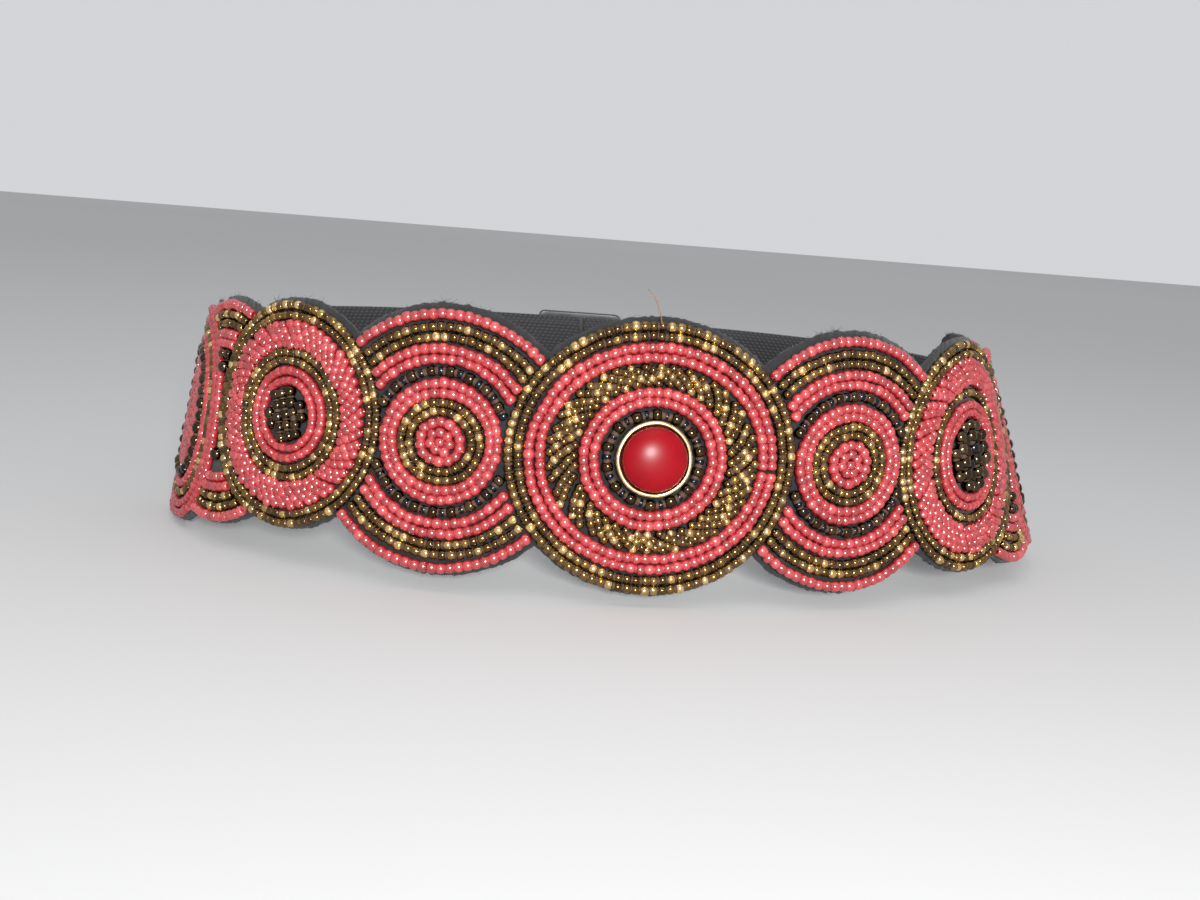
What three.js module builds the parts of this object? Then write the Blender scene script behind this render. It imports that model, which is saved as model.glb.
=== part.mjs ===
import * as THREE from "three";

// Beaded belt, worn form. Millimetres, +Z up, the front of the belt faces -Y.
// The origin is the middle of the waist opening, at half the belt's height.

// The oval that the belt's cloth face follows at half its height, and how it widens towards the hips.
const WAIST_HALF_WIDTH = 130.6;
const WAIST_HALF_DEPTH = 89.6;
const WAIST_SQUARENESS = 2.2;
const SIDE_FLARE = 0.28;
const FRONT_FLARE = 0.1;
const UPRIGHT = 0.98;

// The loop leans to the left as it rises. LEAN_REACH is how far from the front centre the pieces slide
// round against the lean by twice as much as they do at the front centre.
const SIDE_LEAN = 0.105;
const LEAN_REACH = 120;

// Layers, counted outwards from the cloth's face.
const CLOTH_THICKNESS = 1.5;
const BAND_THICKNESS = 1.2;
const GAP = 0.3;
const BEAD_HEIGHT = 2.6;
const LARGE_BEAD_HEIGHT = 3.1;
const CLUSTER_HEIGHT = 3.5;

// Cloth, bands and clasp.
const CLOTH_MARGIN = 1.3;
const BAND_HEIGHT = 44;
const BAND_TUCK = 12;
const CLASP_WIDTH = 34;
const CLASP_HEIGHT = 48;
const CLASP_THICKNESS = 2.4;

// The domed stone in the centre medallion and its metal cup.
const BEZEL_RADIUS = 10.2;
const BEZEL_WALL = 1.3;
const BEZEL_HEIGHT = 3.4;
const BEZEL_FLOOR = 0.9;
const CABOCHON_EDGE = 2.4;
const CABOCHON_HEIGHT = 6;

// Medallions. Those on top hide the ones under them, which keep CUT_MARGIN clear of them.
const SIDE_CLEARANCE = 0.5;
const CUT_MARGIN = 0.8;
const CENTRE_HALF_WIDTH = 38.9;
const CENTRE_HALF_HEIGHT = 36.8;
const INNER_HALF_WIDTH = 36;
const INNER_HALF_HEIGHT = 35.7;
const MIDDLE_LEFT_HALF_WIDTH = 28.7;
const MIDDLE_LEFT_HALF_HEIGHT = 31.2;
const MIDDLE_RIGHT_HALF_WIDTH = 31;
const MIDDLE_RIGHT_HALF_HEIGHT = 33.4;
const OUTER_HALF_WIDTH = 25.5;
const OUTER_HALF_HEIGHT = 32.6;
const OUTER_SQUARENESS = 2.3;
const NOTCH_RADIUS = 32;
const NOTCH_DEPTH = 17;
const NOTCH_ROWS = 6;

// Height of each medallion's middle on the belt.
const INNER_RISE = 0.3;
const MIDDLE_LEFT_RISE = 1.9;
const MIDDLE_RIGHT_RISE = 1.2;
const OUTER_LEFT_RISE = -6;
const OUTER_RIGHT_RISE = -1;
const NOTCH_RISE = -1.5;

// The fields of beads of each medallion from its middle outwards. side is a field's width at the
// medallion's sides and top its width at the top and bottom, both in hundredths of the half size that
// the fields share. rows is the number of rows of beads, and steps the stations round the field.
const CENTRE_FIELDS = [
  { name: "gunmetal_ring", slot: "gunmetal_beads", rows: 1, side: 12.5, top: 13.5, steps: 24 },
  { name: "coral_inner", slot: "coral_beads", rows: 2, side: 20, top: 20, steps: 28 },
  { name: "bronze_twist", slot: "bronze_beads", rows: 3, side: 29.5, top: 23.5, steps: 32 },
  { name: "coral_outer", slot: "coral_beads", rows: 2, side: 20, top: 21.5, steps: 36 },
  { name: "rim", slot: "bronze_beads", rows: 2, side: 18, top: 21.5, steps: 40 },
];
const INNER_FIELDS = [
  { name: "heart", slot: "coral_beads", rows: 1, side: 19.6, top: 19.8, steps: 16 },
  { name: "bronze_ring", slot: "bronze_beads", rows: 2, side: 14, top: 13.6, steps: 24 },
  { name: "coral_ring", slot: "coral_beads", rows: 2, side: 12, top: 14.5, steps: 26 },
  { name: "gunmetal", slot: "gunmetal_beads", rows: 1, side: 10, top: 9.7, steps: 7 },
  { name: "coral", slot: "coral_beads", rows: 2, side: 17, top: 15.9, steps: 8 },
  { name: "bronze", slot: "bronze_beads", rows: 2, side: 17, top: 15.6, steps: 9 },
  { name: "edge", slot: "coral_beads", rows: 1, side: 10.4, top: 10.9, steps: 9 },
];
const INNER_WHOLE_COUNT = 3;
const MIDDLE_LEFT_FIELDS = [
  { name: "cluster", slot: "gunmetal_beads", rows: 1, side: 25.8, top: 25.2, steps: 16 },
  { name: "coral_ring", slot: "coral_beads", rows: 2, side: 19.6, top: 18.7, steps: 22 },
  { name: "bronze_ring", slot: "bronze_beads", rows: 2, side: 15.5, top: 15.6, steps: 24 },
  { name: "coral_field", slot: "coral_beads", rows: 3, side: 23.6, top: 23.5, steps: 26 },
  { name: "rim", slot: "bronze_beads", rows: 2, side: 15.5, top: 17, steps: 32 },
];
const MIDDLE_RIGHT_FIELDS = [
  { name: "cluster", slot: "gunmetal_beads", rows: 1, side: 32.9, top: 33, steps: 16 },
  { name: "coral_ring", slot: "coral_beads", rows: 2, side: 16, top: 16.2, steps: 22 },
  { name: "bronze_ring", slot: "bronze_beads", rows: 1, side: 10.2, top: 11.1, steps: 24 },
  { name: "coral_field", slot: "coral_beads", rows: 3, side: 24.9, top: 23.7, steps: 28 },
  { name: "rim", slot: "bronze_beads", rows: 2, side: 16, top: 16, steps: 32 },
];
const OUTER_FIELDS = [
  { name: "heart", slot: "coral_beads", rows: 1, side: 44.9, top: 54.5, steps: 14 },
  { name: "gunmetal_ring", slot: "gunmetal_beads", rows: 1, side: 13.2, top: 9.9, steps: 20 },
  { name: "coral_ring", slot: "coral_beads", rows: 1, side: 11.9, top: 9, steps: 20 },
  { name: "bronze_ring", slot: "bronze_beads", rows: 1, side: 10.7, top: 8, steps: 22 },
  { name: "rim", slot: "coral_beads", rows: 2, side: 19.3, top: 18.6, steps: 26 },
];

const FINISHES = {
  coral_beads: { color: 0xd9626a, roughness: 0.22, metalness: 0 },
  bronze_beads: { color: 0x8a6a2a, roughness: 0.28, metalness: 0.9 },
  gunmetal_beads: { color: 0x3a3026, roughness: 0.25, metalness: 0.8 },
  red_stone: { color: 0xc01828, roughness: 0.18, metalness: 0 },
  gold_bezel: { color: 0xd8b45a, roughness: 0.25, metalness: 1 },
  black_cloth: { color: 0x1c2124, roughness: 0.95, metalness: 0 },
  black_band: { color: 0x17181a, roughness: 0.85, metalness: 0 },
  clasp_metal: { color: 0x202022, roughness: 0.45, metalness: 0.6 },
};

const group = new THREE.Group();

// The waist's oval. Its length is measured at levels of the belt, so that the belt wraps it as a strip.
const LEVEL_STEP = 5;
const OVAL_STEPS = 720;
const levels = new Map();

const power = (value, exponent) => Math.sign(value) * Math.abs(value) ** exponent;

function ovalPoint(angle, t, out) {
  const z = t * UPRIGHT;
  const round = 2 / WAIST_SQUARENESS;
  return [
    power(Math.sin(angle), round) * (WAIST_HALF_WIDTH - SIDE_FLARE * z + out) - SIDE_LEAN * z,
    -power(Math.cos(angle), round) * (WAIST_HALF_DEPTH - FRONT_FLARE * z + out),
    z,
  ];
}

// Lengths along half the oval, from the front centre to the back centre, at one level.
function lengthsAt(level) {
  if (levels.has(level)) return levels.get(level);
  const lengths = [0];
  let last = ovalPoint(0, level * LEVEL_STEP, 0);
  for (let i = 1; i <= OVAL_STEPS; i++) {
    const next = ovalPoint((Math.PI * i) / OVAL_STEPS, level * LEVEL_STEP, 0);
    lengths.push(lengths[i - 1] + Math.hypot(next[0] - last[0], next[1] - last[1]));
    last = next;
  }
  levels.set(level, lengths);
  return lengths;
}

function angleOnLevel(length, level) {
  const lengths = lengthsAt(level);
  let low = 0;
  let high = OVAL_STEPS;
  while (high - low > 1) {
    const middle = (low + high) >> 1;
    if (lengths[middle] <= length) low = middle;
    else high = middle;
  }
  const part = Math.min(1, (length - lengths[low]) / (lengths[high] - lengths[low]));
  return (Math.PI * (low + part)) / OVAL_STEPS;
}

function halfGirth(t) {
  const level = Math.floor(t / LEVEL_STEP);
  const part = t / LEVEL_STEP - level;
  return lengthsAt(level)[OVAL_STEPS] * (1 - part) + lengthsAt(level + 1)[OVAL_STEPS] * part;
}

// What a point slides round the waist so that the medallions stay upright at the front of the leaning
// loop. The slide fades to nothing where the loop closes at the back.
function slide(s, t) {
  const turned = 1 + (s / LEAN_REACH) ** 2;
  const fade = Math.max(0, 1 - (s / halfGirth(t)) ** 2);
  return SIDE_LEAN * t * UPRIGHT * turned * fade ** 2;
}

// A point of the belt: s runs round the waist from the front centre, t up the belt, out from the cloth.
function onBelt(s, t, out) {
  const level = Math.floor(t / LEVEL_STEP);
  const part = t / LEVEL_STEP - level;
  const along = s + slide(s, t);
  const length = Math.abs(along);
  const angle = angleOnLevel(length, level) * (1 - part) + angleOnLevel(length, level + 1) * part;
  return ovalPoint(Math.sign(along) * angle, t, out);
}

// The flat plane that touches the belt's face at its front centre, for the stiff metal and stone.
function onFrontPlane(s, t, out) {
  const middle = new THREE.Vector3(...onBelt(0, 0, 0));
  const up = new THREE.Vector3(0, FRONT_FLARE * UPRIGHT, UPRIGHT).normalize();
  const across = new THREE.Vector3(1, 0, 0);
  const outward = new THREE.Vector3().crossVectors(across, up);
  return middle
    .addScaledVector(across, s)
    .addScaledVector(up, t)
    .addScaledVector(outward, out)
    .toArray();
}

// Solids. Each is built from rings of points that all have the same number of points.
function addSolid(name, slot, points, faces) {
  const [a, b, c] = [new THREE.Vector3(), new THREE.Vector3(), new THREE.Vector3()];
  let volume = 0;
  for (const [i, j, k] of faces) {
    a.fromArray(points[i]);
    b.fromArray(points[j]);
    c.fromArray(points[k]);
    volume += a.dot(b.cross(c));
  }
  const outward = volume > 0 ? faces : faces.map(([i, j, k]) => [i, k, j]);
  const geometry = new THREE.BufferGeometry();
  geometry.setAttribute("position", new THREE.Float32BufferAttribute(points.flat(), 3));
  geometry.setIndex(outward.flat());
  geometry.computeVertexNormals();
  const mesh = new THREE.Mesh(geometry, new THREE.MeshStandardMaterial(FINISHES[slot]));
  mesh.name = name;
  group.add(mesh);
}

// Two triangles between each pair of neighbouring points of neighbouring rings.
function wallFaces(rings, count, closed) {
  const faces = [];
  for (let i = 0; i < (closed ? rings : rings - 1); i++) {
    const here = i * count;
    const there = ((i + 1) % rings) * count;
    for (let j = 0; j < count; j++) {
      const next = (j + 1) % count;
      faces.push([here + j, there + j, there + next]);
      faces.push([here + j, there + next, here + next]);
    }
  }
  return faces;
}

// The triangles that close an outline, turning the same way as its points.
function capFaces(outline) {
  const flat = outline.map(([across, height]) => new THREE.Vector2(across, height));
  const turn = Math.sign(THREE.ShapeUtils.area(flat));
  return THREE.ShapeUtils.triangulateShape(flat, []).map(([i, j, k]) => {
    const same = Math.sign(THREE.ShapeUtils.area([flat[i], flat[j], flat[k]])) === turn;
    return same ? [i, j, k] : [i, k, j];
  });
}

// An outline of [across, height] pairs swept along stations from 0 to 1, as a loop or with capped ends.
function addSweep(name, slot, outline, steps, closed, place) {
  const points = [];
  const rings = closed ? steps : steps + 1;
  for (let i = 0; i < rings; i++) {
    for (const [across, height] of outline) points.push(place(i / steps, across, height));
  }
  const faces = wallFaces(rings, outline.length, closed);
  if (!closed) {
    const end = (rings - 1) * outline.length;
    for (const [i, j, k] of capFaces(outline)) {
      faces.push([i, j, k]);
      faces.push([end + i, end + k, end + j]);
    }
  }
  addSolid(name, slot, points, faces);
}

// A profile of [radius, height] pairs turned round, closed by a point on the axis at each end.
function addTurned(name, slot, profile, steps, place) {
  const points = [];
  for (const [radius, height] of profile.slice(1, -1)) {
    for (let i = 0; i < steps; i++) points.push(place(i / steps, radius, height));
  }
  const rings = profile.length - 2;
  const faces = wallFaces(rings, steps, false);
  const low = points.push(place(0, 0, profile[0][1])) - 1;
  const high = points.push(place(0, 0, profile.at(-1)[1])) - 1;
  const top = (rings - 1) * steps;
  for (let i = 0; i < steps; i++) {
    const next = (i + 1) % steps;
    faces.push([low, i, next]);
    faces.push([high, top + next, top + i]);
  }
  addSolid(name, slot, points, faces);
}

// Medallions. A medallion's field lies between two ovals, whose half sizes grow outwards field by field.
const ROUND = 2;
const VALLEY = 0.8;
const SHOULDER = 0.3;

// start is the size of what the fields go round, or 0, and half the medallion's half size.
function layFields(fields, start, half) {
  const gaps = GAP * (start.wide > 0 ? fields.length : fields.length - 1);
  const room = { wide: half.wide - start.wide - gaps, tall: half.tall - start.tall - gaps };
  let edge = start;
  return fields.map((field) => {
    const gap = edge.wide > 0 ? GAP : 0;
    const inner = { wide: edge.wide + gap, tall: edge.tall + gap };
    const wide = inner.wide + (room.wide * field.side) / 100;
    edge = { wide, tall: inner.tall + (room.tall * field.top) / 100 };
    return { ...field, inner, outer: edge };
  });
}

function makeMedallion(name, s, t, squareness, laid) {
  return { name, s, t, squareness, laid, ...laid.at(-1).outer };
}

function onMedallion(medallion, angle, wide, tall, height) {
  const round = 2 / medallion.squareness;
  const s = medallion.s + wide * power(Math.sin(angle), round);
  const t = medallion.t + tall * power(Math.cos(angle), round);
  return onBelt(s, t, height);
}

// The outline across a field: one hump for each row of beads.
function rowOutline(rows, height) {
  const outline = [[0, GAP]];
  if (rows === 1) outline.push([SHOULDER, height], [1 - SHOULDER, height]);
  for (let row = 0; row < rows && rows > 1; row++) {
    outline.push([(row + 0.5) / rows, height]);
    if (row < rows - 1) outline.push([(row + 1) / rows, height * VALLEY]);
  }
  outline.push([1, GAP]);
  return outline;
}

const fieldHeight = (field) =>
  GAP + (field.slot === "gunmetal_beads" ? LARGE_BEAD_HEIGHT : BEAD_HEIGHT);

const between = (low, high, part) => low + (high - low) * part;

function addRing(medallion, field) {
  const { inner, outer } = field;
  const outline = rowOutline(field.rows, fieldHeight(field));
  const place = (station, across, height) =>
    onMedallion(
      medallion,
      2 * Math.PI * station,
      between(inner.wide, outer.wide, across),
      between(inner.tall, outer.tall, across),
      height,
    );
  addSweep(`${medallion.name}_${field.name}`, field.slot, outline, field.steps, true, place);
}

// The field at a medallion's middle is a low cushion.
function addMiddle(medallion, field, top) {
  const profile = [
    [0, GAP],
    [0.55, GAP],
    [1, GAP],
    [0.85, top],
    [0.45, top],
    [0, top],
  ];
  const place = (station, radius, height) =>
    onMedallion(
      medallion,
      2 * Math.PI * station,
      radius * field.outer.wide,
      radius * field.outer.tall,
      height,
    );
  addTurned(`${medallion.name}_${field.name}`, field.slot, profile, field.steps, place);
}

// Arcs of the medallions that lie under others. They stop clear of the medallions that cover them, and
// have points along their floor too, so that their ends follow the covering rim.
const ARC_LIMIT = 1.53;
const ARC_SCAN = 60;
const HALVINGS = 20;

function isCovered(s, t, covers) {
  return covers.some((cover) => {
    const across = Math.abs(s - cover.s) / (cover.wide + CUT_MARGIN);
    const along = Math.abs(t - cover.t) / (cover.tall + CUT_MARGIN);
    return across ** cover.squareness + along ** cover.squareness < 1;
  });
}

// How far an oval runs from its top (up 1) or bottom (up -1) towards one side before it is covered.
function arcReach(medallion, wide, tall, up, side, covers) {
  const covered = (angle) => {
    const s = medallion.s + side * wide * Math.sin(angle);
    return isCovered(s, medallion.t + up * tall * Math.cos(angle), covers);
  };
  let clear = 0;
  for (let i = 1; i <= ARC_SCAN; i++) {
    let angle = (ARC_LIMIT * i) / ARC_SCAN;
    if (!covered(angle)) {
      clear = angle;
      continue;
    }
    for (let k = 0; k < HALVINGS; k++) {
      const middle = (clear + angle) / 2;
      if (covered(middle)) angle = middle;
      else clear = middle;
    }
    return clear;
  }
  return clear;
}

function addArc(name, medallion, field, up, covers) {
  const { inner, outer } = field;
  const reaches = new Map();
  const outline = rowOutline(field.rows, fieldHeight(field));
  for (let row = field.rows - 1; row > 0; row--) outline.push([row / field.rows, GAP]);
  for (const [across] of outline) {
    const wide = between(inner.wide, outer.wide, across);
    const tall = between(inner.tall, outer.tall, across);
    const low = -arcReach(medallion, wide, tall, up, -1, covers);
    const high = arcReach(medallion, wide, tall, up, 1, covers);
    reaches.set(across, { wide, tall, low, high });
  }
  const place = (station, across, height) => {
    const { wide, tall, low, high } = reaches.get(across);
    const angle = between(low, high, station);
    const s = medallion.s + wide * Math.sin(angle);
    return onBelt(s, medallion.t + up * tall * Math.cos(angle), height);
  };
  addSweep(name, field.slot, outline, field.steps, false, place);
}

const UPS = [
  { name: "top", up: 1 },
  { name: "bottom", up: -1 },
];

// Centre medallion, with the stone in its cup.
const NOTHING = { wide: 0, tall: 0 };
const centreLaid = layFields(
  CENTRE_FIELDS,
  { wide: BEZEL_RADIUS, tall: BEZEL_RADIUS },
  { wide: CENTRE_HALF_WIDTH, tall: CENTRE_HALF_HEIGHT },
);
const centre = makeMedallion("centre", 0, 0, ROUND, centreLaid);
for (const field of centre.laid) addRing(centre, field);

const onFrontCircle = (station, radius, height) => {
  const angle = 2 * Math.PI * station;
  return onFrontPlane(radius * Math.sin(angle), radius * Math.cos(angle), height);
};
const CUP_STEPS = 24;
const LIP = 0.4;
const cupInside = BEZEL_RADIUS - BEZEL_WALL;
const cupTop = GAP + BEZEL_HEIGHT;
const cupFloor = GAP + BEZEL_FLOOR;
const cup = [
  [0, GAP],
  [BEZEL_RADIUS, GAP],
  [BEZEL_RADIUS, cupTop - LIP],
  [BEZEL_RADIUS - LIP, cupTop],
  [cupInside, cupTop - LIP],
  [cupInside, cupFloor],
  [0, cupFloor],
];
addTurned("centre_bezel", "gold_bezel", cup, CUP_STEPS, onFrontCircle);

const stoneRadius = cupInside - GAP;
const stoneFoot = cupFloor + GAP;
const stoneSide = stoneFoot + CABOCHON_EDGE;
const DOME_RINGS = 4;
const stone = [
  [0, stoneFoot],
  [stoneRadius, stoneFoot],
];
for (let i = 0; i <= DOME_RINGS; i++) {
  const angle = (Math.PI / 2) * (i / DOME_RINGS);
  const rise = (CABOCHON_HEIGHT - CABOCHON_EDGE) * Math.sin(angle);
  stone.push([i === DOME_RINGS ? 0 : stoneRadius * Math.cos(angle), stoneSide + rise]);
}
addTurned("centre_cabochon", "red_stone", stone, CUP_STEPS, onFrontCircle);

// The medallions of each side, from the centre outwards. An inner medallion's whole rings just fit
// between the two medallions that lie over it.
const SIDES = [
  {
    name: "left",
    way: -1,
    middleRise: MIDDLE_LEFT_RISE,
    middleHalf: { wide: MIDDLE_LEFT_HALF_WIDTH, tall: MIDDLE_LEFT_HALF_HEIGHT },
    middleFields: MIDDLE_LEFT_FIELDS,
    outerRise: OUTER_LEFT_RISE,
  },
  {
    name: "right",
    way: 1,
    middleRise: MIDDLE_RIGHT_RISE,
    middleHalf: { wide: MIDDLE_RIGHT_HALF_WIDTH, tall: MIDDLE_RIGHT_HALF_HEIGHT },
    middleFields: MIDDLE_RIGHT_FIELDS,
    outerRise: OUTER_RIGHT_RISE,
  },
];
const NOTCH_STEPS = 5;
const notchInside = NOTCH_RADIUS - NOTCH_DEPTH;
const notchRows = {
  slot: "coral_beads",
  rows: NOTCH_ROWS,
  steps: NOTCH_STEPS,
  inner: { wide: notchInside, tall: notchInside },
  outer: { wide: NOTCH_RADIUS, tall: NOTCH_RADIUS },
};
const innerHalf = { wide: INNER_HALF_WIDTH, tall: INNER_HALF_HEIGHT };
const innerLaid = layFields(INNER_FIELDS, NOTHING, innerHalf);
const outerHalf = { wide: OUTER_HALF_WIDTH, tall: OUTER_HALF_HEIGHT };
const outerLaid = layFields(OUTER_FIELDS, NOTHING, outerHalf);
const wholeWide = innerLaid[INNER_WHOLE_COUNT - 1].outer.wide;
const innerAt = CENTRE_HALF_WIDTH + SIDE_CLEARANCE + wholeWide;
const medallions = [centre];
const ends = {};

function addInner(inner, covers) {
  const [heart, ...rings] = inner.laid.slice(0, INNER_WHOLE_COUNT);
  addMiddle(inner, heart, fieldHeight(heart));
  for (const field of rings) addRing(inner, field);
  for (const { name, up } of UPS) {
    for (const field of inner.laid.slice(INNER_WHOLE_COUNT)) {
      addArc(`${inner.name}_${field.name}_${name}`, inner, field, up, covers);
    }
  }
}

function addWhole(medallion, middleHeight) {
  const [first, ...others] = medallion.laid;
  addMiddle(medallion, first, middleHeight);
  for (const field of others) addRing(medallion, field);
}

for (const { name, way, middleRise, middleHalf, middleFields, outerRise } of SIDES) {
  const middleAt = innerAt + wholeWide + SIDE_CLEARANCE + middleHalf.wide;
  const outerAt = middleAt + middleHalf.wide + SIDE_CLEARANCE + OUTER_HALF_WIDTH;
  const notchAt = middleAt + middleHalf.wide + SIDE_CLEARANCE / 2;
  const middleLaid = layFields(middleFields, NOTHING, middleHalf);
  const inner = makeMedallion(`${name}_inner`, way * innerAt, INNER_RISE, ROUND, innerLaid);
  const middle = makeMedallion(`${name}_middle`, way * middleAt, middleRise, ROUND, middleLaid);
  const outer = makeMedallion(`${name}_outer`, way * outerAt, outerRise, OUTER_SQUARENESS, outerLaid);
  const notch = makeMedallion(`${name}_notch`, way * notchAt, NOTCH_RISE, ROUND, [notchRows]);
  addInner(inner, [centre, middle]);
  for (const up of UPS) addArc(`${notch.name}_${up.name}`, notch, notchRows, up.up, [middle, outer]);
  addWhole(middle, GAP + CLUSTER_HEIGHT);
  addWhole(outer, GAP + BEAD_HEIGHT);
  medallions.push(inner, middle, outer, notch);
  ends[name] = outerAt + OUTER_HALF_WIDTH + CLOTH_MARGIN;
}

// Cloth under all the medallions, cut a little outside their edges.
function clothEdge(s, up) {
  const reach = medallions.map((medallion) => {
    const across = Math.abs(s - medallion.s) / (medallion.wide + CLOTH_MARGIN);
    if (across >= 1) return 0;
    const share = (1 - across ** medallion.squareness) ** (1 / medallion.squareness);
    return up * medallion.t + (medallion.tall + CLOTH_MARGIN) * share;
  });
  return up * Math.max(BAND_HEIGHT / 2, ...reach);
}

// A flat wall's outline: up its face and down its back. across runs from its lower to its upper edge.
const wallOutline = (face, back) => [
  [0, face],
  [0.5, face],
  [1, face],
  [1, back],
  [0.5, back],
  [0, back],
];

const CLOTH_STEPS = 108;
addSweep(
  "cloth_backing",
  "black_cloth",
  wallOutline(0, -CLOTH_THICKNESS),
  CLOTH_STEPS,
  false,
  (station, across, height) => {
    const s = between(-ends.left, ends.right, station);
    return onBelt(s, between(clothEdge(s, -1), clothEdge(s, 1), across), height);
  },
);

// Bands from behind the cloth's ends to the back centre, where the clasp lies over both.
const BAND_STEPS = 20;
const bandFace = -CLOTH_THICKNESS - GAP;
for (const { name, way } of SIDES) {
  addSweep(
    `band_${name}`,
    "black_band",
    wallOutline(bandFace, bandFace - BAND_THICKNESS),
    BAND_STEPS,
    false,
    (station, across, height) => {
      const t = between(-BAND_HEIGHT / 2, BAND_HEIGHT / 2, across);
      const s = between(ends[name] - BAND_TUCK, halfGirth(t) - GAP, station);
      return onBelt(way * s, t, height);
    },
  );
}

const CLASP_STEPS = 8;
addSweep(
  "clasp",
  "clasp_metal",
  wallOutline(bandFace + GAP + CLASP_THICKNESS, bandFace + GAP),
  CLASP_STEPS,
  false,
  (station, across, height) => {
    const t = between(-CLASP_HEIGHT / 2, CLASP_HEIGHT / 2, across);
    const aside = between(-CLASP_WIDTH / 2, CLASP_WIDTH / 2, station);
    const way = aside < 0 ? -1 : 1;
    return onBelt(way * (halfGirth(t) - Math.abs(aside)), t, height);
  },
);

export default group;
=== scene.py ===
# %% [markdown]
# # A beaded belt
# The real belt is dark felt, sewn all over with rows of glass beads that make round medallions, and it
# is shown in the oval form it takes round a waist. A solid model already says where each medallion and
# each field of beads lies, as plain humped rings. This script is the second half of the work: it swaps
# those rings for real beads and gives the felt, the bands, the metal and the stone their surfaces.
# The solid model is loaded first, and it stays the frame that everything else is placed in.

# %% Load the frame
import math
import bpy
import numpy as np
from mathutils import Matrix, Vector


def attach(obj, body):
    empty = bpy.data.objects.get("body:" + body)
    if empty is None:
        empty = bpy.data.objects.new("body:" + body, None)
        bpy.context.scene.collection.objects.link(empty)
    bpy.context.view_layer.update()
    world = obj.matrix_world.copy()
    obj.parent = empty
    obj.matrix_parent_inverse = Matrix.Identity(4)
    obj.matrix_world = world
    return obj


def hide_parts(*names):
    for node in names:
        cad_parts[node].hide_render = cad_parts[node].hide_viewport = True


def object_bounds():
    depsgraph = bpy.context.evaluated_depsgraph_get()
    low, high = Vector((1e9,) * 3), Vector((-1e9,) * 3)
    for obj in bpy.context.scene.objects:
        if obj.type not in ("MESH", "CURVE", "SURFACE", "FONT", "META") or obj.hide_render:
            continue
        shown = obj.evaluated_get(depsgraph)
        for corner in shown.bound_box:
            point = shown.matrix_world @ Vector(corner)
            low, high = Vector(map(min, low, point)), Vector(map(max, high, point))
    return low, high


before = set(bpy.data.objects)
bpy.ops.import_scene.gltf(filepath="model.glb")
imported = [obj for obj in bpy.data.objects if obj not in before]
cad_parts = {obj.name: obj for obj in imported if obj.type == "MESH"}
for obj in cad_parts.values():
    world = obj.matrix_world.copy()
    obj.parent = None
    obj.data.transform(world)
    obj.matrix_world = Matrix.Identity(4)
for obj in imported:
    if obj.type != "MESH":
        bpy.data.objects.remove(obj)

cad_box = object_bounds()
scene = bpy.context.scene

# %% [markdown]
# ## Camera
# The camera's place and turn were worked out from the outlines of the medallions in the photograph. It
# stands a little to the left of the belt's middle, looks slightly down and leans a few degrees. A camera
# could be aimed with a Track To constraint, but a constraint can't hold the lean as simply as three turns
# in a row: first the lean about the line of sight, then the tilt, then the turn about the upright.

# %% Camera
CAMERA_PLACE = Vector((-0.05622, -0.39818, 0.06064))
CAMERA_TURN, CAMERA_TILT, CAMERA_LEAN = (math.radians(a) for a in (-7.773, -10.76, 4.657))
LENS_MM, SENSOR_MM = 36.321, 36
LEVEL_LINE_OF_SIGHT = math.radians(90)

camera_data = bpy.data.cameras.new("camera")
camera_data.lens = LENS_MM
camera_data.sensor_width = SENSOR_MM
camera_data.clip_start = 0.01
camera = bpy.data.objects.new("camera", camera_data)
camera.matrix_world = (
    Matrix.Translation(CAMERA_PLACE)
    @ Matrix.Rotation(CAMERA_TURN, 4, "Z")
    @ Matrix.Rotation(LEVEL_LINE_OF_SIGHT + CAMERA_TILT, 4, "X")
    @ Matrix.Rotation(CAMERA_LEAN, 4, "Z")
)
scene.collection.objects.link(camera)
scene.camera = camera
print("camera at", [round(c, 3) for c in CAMERA_PLACE])

# %% [markdown]
# ## Building node trees in a script
# Both materials and Geometry Nodes are trees of nodes. A node can be added by hand in the editor or, as
# here, by a few lines. One small helper adds a node, sets its options and fills each input with a value
# or a wire from another node. All the trees below are built with it. Others do what every finish needs:
# noise fixed to the piece, colours along a ramp, roughness and fine relief.

# %% Helpers for nodes
def fill(tree, socket, value):
    if isinstance(value, bpy.types.Node):
        value = value.outputs[0]
    if isinstance(value, bpy.types.NodeSocket):
        tree.links.new(value, socket)
    else:
        socket.default_value = value


def put(tree, kind, inputs=None, **options):
    node = tree.nodes.new(kind)
    for key, value in options.items():
        setattr(node, key, value)
    for key, value in (inputs or {}).items():
        fill(tree, node.inputs[key], value)
    return node


def math_node(tree, operation, *values):
    return put(tree, "ShaderNodeMath", dict(enumerate(values)), operation=operation)


def new_finish(name, **surface):
    finish = bpy.data.materials.new(name)
    finish.use_nodes = True
    shader = finish.node_tree.nodes["Principled BSDF"]
    for key, value in surface.items():
        shader.inputs[key.replace("_", " ")].default_value = value
    return finish, finish.node_tree, shader.inputs


def noise(tree, scale, **more):
    here = put(tree, "ShaderNodeTexCoord").outputs["Object"]
    return put(tree, "ShaderNodeTexNoise", {"Vector": here, "Scale": scale, **more})


def colour(tree, inputs, factor, stops):
    ramp = put(tree, "ShaderNodeValToRGB", {"Fac": factor})
    elements = ramp.color_ramp.elements
    while len(elements) < len(stops):
        elements.new(1)
    for element, (place, shade) in zip(elements, stops):
        element.position = place
        element.color = (*shade, 1)
    fill(tree, inputs["Base Color"], ramp)


def roughen(tree, inputs, factor, low, high, reach=(0, 1)):
    spread = put(tree, "ShaderNodeMapRange", {"Value": factor, "From Min": reach[0], "From Max": reach[1],
                                              "To Min": low, "To Max": high})
    fill(tree, inputs["Roughness"], spread)


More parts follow.
